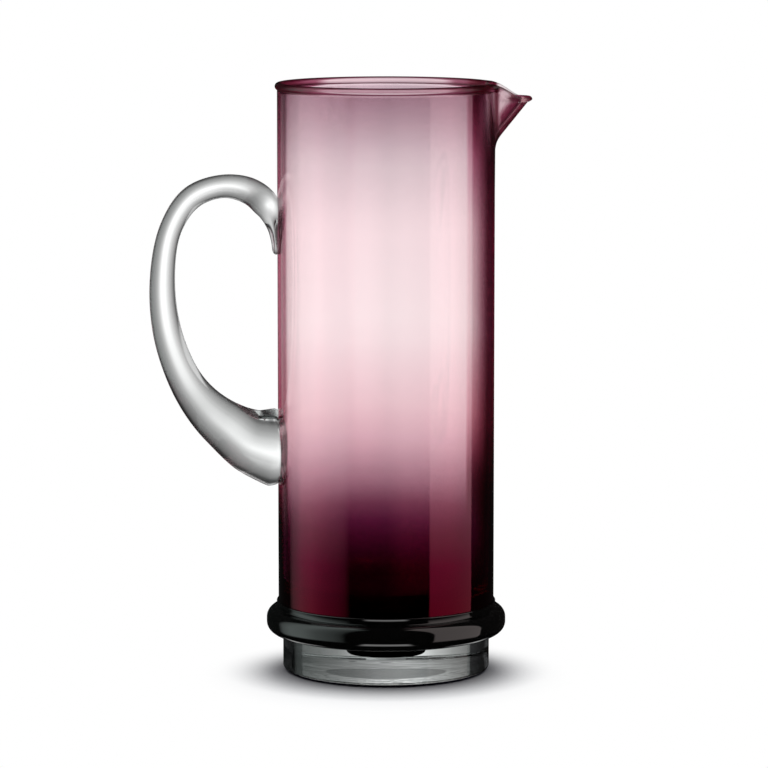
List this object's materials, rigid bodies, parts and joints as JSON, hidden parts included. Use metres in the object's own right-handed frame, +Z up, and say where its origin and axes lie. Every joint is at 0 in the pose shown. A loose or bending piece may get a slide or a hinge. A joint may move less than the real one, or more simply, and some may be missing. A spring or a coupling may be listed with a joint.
{
  "type": "glass pouring jug",
  "caption": "Tall straight glass jug in amethyst that fades to pale pink, with a pulled spout, a clear looped handle, a black collar ring and a clear disc foot.",
  "frame": {"origin": "centre of the foot's underside", "axes": "+Z up along the body's axis, +X towards the spout, -X towards the handle"},
  "size_m": [0.1661, 0.1048, 0.2572],
  "materials": {
    "amethyst_glass": "fire-polished amethyst glass, pale in the middle and deep plum towards the floor",
    "black_glass": "glossy opaque black glass",
    "foot_glass": "clear glass, tooled while hot",
    "handle_glass": "clear glass, drawn while hot"
  },
  "bodies": {
    "root": {"body": "amethyst_glass", "collar_ring": "black_glass", "foot": "foot_glass", "handle": "handle_glass"}
  },
  "joints": []
}
